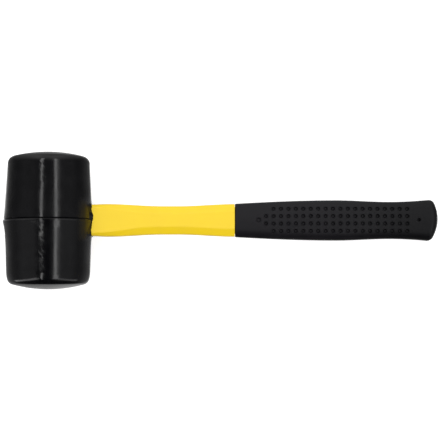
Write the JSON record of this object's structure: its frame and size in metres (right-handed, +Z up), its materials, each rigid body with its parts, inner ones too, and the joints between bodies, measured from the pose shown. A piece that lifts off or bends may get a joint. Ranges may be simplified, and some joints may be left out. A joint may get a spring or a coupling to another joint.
{
  "type": "rubber mallet",
  "caption": "Rubber mallet with a domed barrel head, a waisted plastic-jacketed handle and a soft dimpled grip, lying on its side.",
  "frame": {"origin": "centre of the bounding box's underside, on the surface that the mallet lies on", "axes": "+X along the handle from the head to the grip's end, +Y along the head's striking axis, +Z up. The mallet lies on the lip of its head and the end of its grip, so its handle slopes down 4.40 degrees towards +X. The head's axis crosses the handle's at x -134.12, y 0.30, z 35.55 mm."},
  "size_m": [0.3382, 0.1074, 0.0711],
  "materials": {
    "head_rubber": "semi-gloss moulded black rubber",
    "jacket_plastic": "satin-gloss moulded yellow polypropylene",
    "core_fibreglass": "pultruded glass-fibre rod, dull",
    "grip_rubber": "matt moulded black thermoplastic rubber",
    "adhesive_resin": "cured amber epoxy, glossy"
  },
  "bodies": {
    "root": {"rubber_head": "head_rubber", "handle_jacket": "jacket_plastic", "fibreglass_core": "core_fibreglass", "grip_sleeve": "grip_rubber", "eye_adhesive": "adhesive_resin"}
  },
  "joints": []
}
